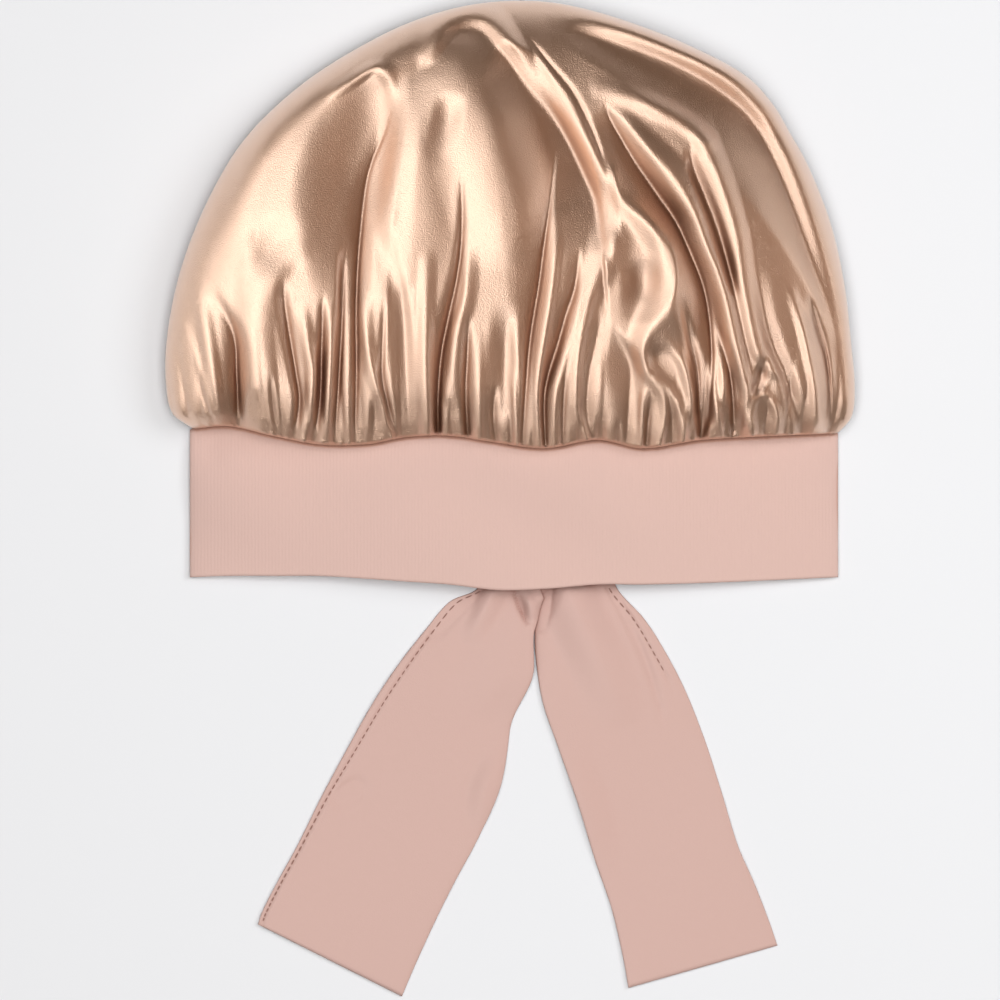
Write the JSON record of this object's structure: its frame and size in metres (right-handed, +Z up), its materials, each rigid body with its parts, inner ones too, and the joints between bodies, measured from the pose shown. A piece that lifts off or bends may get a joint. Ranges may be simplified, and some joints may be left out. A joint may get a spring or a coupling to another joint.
{
  "type": "sleep bonnet",
  "caption": "Sleep bonnet laid flat: a gathered satin crown sewn to a wide jersey band, with two flat tie ends from the back of the band.",
  "frame": {"origin": "middle of what the bonnet covers as it lies, on the surface it rests on", "axes": "+X to the right as seen from above, +Y from the ties towards the top of the crown, +Z up"},
  "size_m": [0.289, 0.4174, 0.0476],
  "materials": {
    "crown_satin": "shiny satin in a champagne rose, gathered",
    "band_jersey": "matt fine-ribbed jersey in a dusty pink",
    "tie_satin": "soft, half-matt woven satin in a dusty pink"
  },
  "bodies": {
    "root": {"crown": "crown_satin", "band": "band_jersey", "tie_left": "tie_satin", "tie_right": "tie_satin"}
  },
  "joints": []
}
